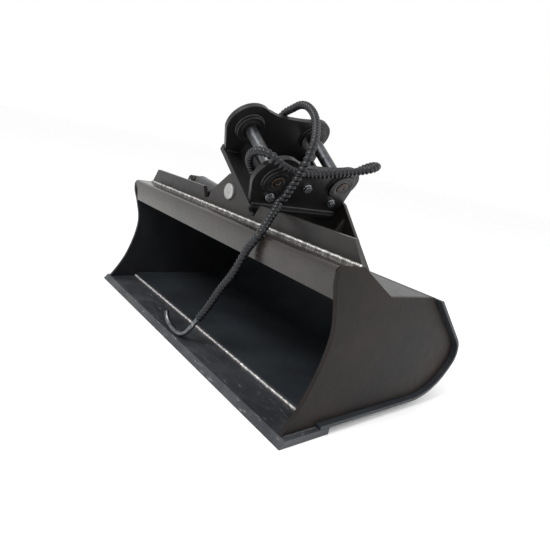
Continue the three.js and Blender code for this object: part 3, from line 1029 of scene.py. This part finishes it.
# From the rod port outside the left ear, over both ears, to the crossing on the right ear.
UPPER = [on_barrel(p) for p in ((222, 56.3, 64.5), (222, 56.3, 90), (223, 56, 125))] + [
    on_head(p)
    for p in (
        (-212, 306, 10), (-184, 300, 70), (-168, 294, 130), (-158, 288, 190), (-145, 281, 234),
        (-122, 279, 272),
        (-97, 274, 304), (-62, 267, 326), (-24, 259, 336), (12, 247, 340), (48, 232, 339), (82, 213, 337),
        (116, 192, 334), (146, 172, 322), (166, 161, 299), (176, 158, 264),
    )
]  # fmt: skip
# From the crossing, in front of the beam, down towards the blade.
LOWER = [on_head(p) for p in ((176.5, 157.9, 261.6), (181, 156, 240), (187, 153, 208), (192, 150, 180))] + [
    place(p)
    for p in (
        (250, 147, 523), (268, 124, 503), (292, 86, 471), (309, 57, 444), (295, 50, 416), (273, 50, 388),
        (233, 47, 307), (184, 44, 236), (139, 37, 156), (113, 30, 114),
    )
]  # fmt: skip
# The bare tail, which dips to the blade and turns up again.
TAIL = [
    place(p)
    for p in (
        (112.6, 29.8, 113.2), (92, 24, 78), (66, 18, 45), (38, 14, 31), (10, 12, 29.5), (-26, 12, 35),
        (-52, 12, 48), (-68, 14, 66),
    )
]  # fmt: skip
# From the base port up through the base plate, round behind the link pin and along the right ear.
RETURN = [
    *[on_barrel(p) for p in ((144.5, -56.3, 0), (170, -56.3, 1), (205, -57, 8))],
    *[place(p) for p in ((-184, 202, 482), (-138, 202, 510))],
    *[
        on_head(p)
        for p in (
            (-86, 202, 18), (-56, 202, 44), (-40, 202, 69), (-34, 206, 96), (-28, 232, 126), (-8, 290, 142),
            (30, 360, 138), (52, 420, 152), (62, 462, 178), (74, 484, 216), (88, 488, 256), (110, 486, 290),
            (134, 474, 308), (147, 448, 306), (148, 415, 292), (148, 375, 279), (148, 325, 266),
            (148, 265, 249),
            (148, 212, 241), (148, 160, 242), (144, 118, 252), (122, 80, 262), (92, 68, 246), (66, 72, 214),
            (54, 90, 178), (50, 118, 148),
        )
    ],
]  # fmt: skip


@dataclass
class Hoses(Assembly):
    """The feed hose with its bare tail, and the return hose with its plug.

    Args:
        guard: the section of the spiral guard.
        tail: the section of the bare tail.
        step: distance between a hose's rings in millimetres.
    """

    guard: Sweep = Sweep(12.4, 14.5, depth=0.24, turns=1.0)
    tail: Sweep = Sweep(8, 50, depth=0.03)
    step: float = 1.5

    def hose(self, node: str, points: Sequence[Point]) -> tuple[bpy.types.Object, np.ndarray]:
        """Makes a hose with a spiral guard.

        Args:
            node: the CAD node it stands for.
            points: what it passes through, in the row frame.

        Returns:
            The hose and its centreline.
        """
        line = smooth_line(points, self.step)
        piece = self.guard.along(f"{node}_shape", line, HOSE)
        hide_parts(node)
        return piece, line

    def build(self) -> None:
        upper, line = self.hose("feed_hose_upper", UPPER)
        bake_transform(upper)
        self.declare(upper, line, "object")
        lower, line = self.hose("feed_hose_lower", LOWER)
        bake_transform(lower)
        tail = self.tail.along("feed_hose_tail_shape", smooth_line(TAIL, self.step), TAIL_STEEL)
        self.stand_in(tail, "feed_hose_tail")
        self.declare(lower, line, "bare")
        back, line = self.hose("return_hose", RETURN)
        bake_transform(back)
        plug = Assembly(self.frame, Body.HEAD).plate("return_hose_end", ZINC, 0.6)
        self.declare(back, line, "connector", [plug])

    def declare(
        self, piece: bpy.types.Object, line: np.ndarray, far_end: str, others: Sequence[bpy.types.Object] = ()
    ) -> None:
        """Does nothing: the hose is not declared as a cord of its own length, and no diameter is taken.
        Its diameter is taken a little inside the ridges.

        Args:
            piece: the hose; not used.
            line: its centreline; not used.
            far_end: what its far end is; not used.
            others: the pieces on it; not used.
        """


# ---------------------------------------------------------------- studio


@dataclass
class Studio:
    """The camera, the pale floor and the lights.

    Args:
        location: where the camera stands.
        aim: what it points at.
        roll: how far it leans to one side.
        lens: its focal length in millimetres.
        floor_reach: half the floor's width in metres.
        floor_drop: how far the floor lies below the bucket, so that no faces coincide.
    """

    location: Point = (1.2452, -1.0130, 0.6418)
    aim: Point = (0.1469, -0.0631, 0.2659)
    roll: float = radians(11.60)
    lens: float = 29.585
    floor_reach: float = 60
    floor_drop: float = 0.0006

    def camera(self) -> None:
        """Places the camera."""
        data = bpy.data.cameras.new("camera")
        data.lens, data.sensor_width = self.lens, 36.0
        made = bpy.data.objects.new("camera", data)
        bpy.context.scene.collection.objects.link(made)
        made.location = self.location
        made.rotation_mode = "QUATERNION"
        ahead = Vector(self.aim) - Vector(self.location)
        made.rotation_quaternion = ahead.to_track_quat("-Z", "Y") @ Quaternion((0, 0, 1), self.roll)
        bpy.context.scene.camera = made

    def floor(self) -> None:
        """Lays the floor."""
        far, low = self.floor_reach, -self.floor_drop
        mesh = bpy.data.meshes.new("floor")
        square = [(-far, -far, low), (far, -far, low), (far, far, low), (-far, far, low)]
        mesh.from_pydata(square, [], [[0, 1, 2, 3]])
        mesh.materials.append(FLOOR.material())
        made = bpy.data.objects.new("floor", mesh)
        bpy.context.scene.collection.objects.link(made)

    def light(self, name: str, location: Point, aim: Point, size: float, power: float) -> None:
        """Hangs a soft light.

        Args:
            name: the light's name.
            location: where it is.
            aim: what it points at.
            size: its width in metres.
            power: its power in watts.
        """
        data = bpy.data.lights.new(name, "AREA")
        data.shape, data.size, data.energy = "DISK", size, power
        made = bpy.data.objects.new(name, data)
        made.location = location
        made.rotation_euler = (Vector(aim) - Vector(location)).to_track_quat("-Z", "Y").to_euler()
        bpy.context.scene.collection.objects.link(made)

    def build(self) -> None:
        """Lays the floor, whitens the sky and hangs the lights."""
        self.floor()
        world = bpy.data.worlds.new("sky")
        world.use_nodes = True
        back = world.node_tree.nodes["Background"]
        back.inputs[0].default_value, back.inputs[1].default_value = (1.0, 1.0, 1.0, 1.0), 1.0
        bpy.context.scene.world = world
        bpy.context.scene.view_settings.view_transform = "Standard"
        self.light("key", (0.4, -2.4, 3.0), (0, 0, 0.4), 1.8, 90)
        self.light("side", (2.2, 1.6, 1.8), (0, 0, 0.3), 1.2, 22)


def main() -> None:
    """Builds the scene round the CAD frame."""
    logging.basicConfig(level=logging.INFO, format="%(message)s")
    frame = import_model()
    studio = Studio()
    studio.camera()
    for part in (Hoses(frame), Bowl(frame), TopFrame(frame), TiltHead(frame), TiltCylinder(frame)):
        part.build()
        log.info("built %s", type(part).__name__)
    studio.build()


if __name__ == "__main__":
    main()
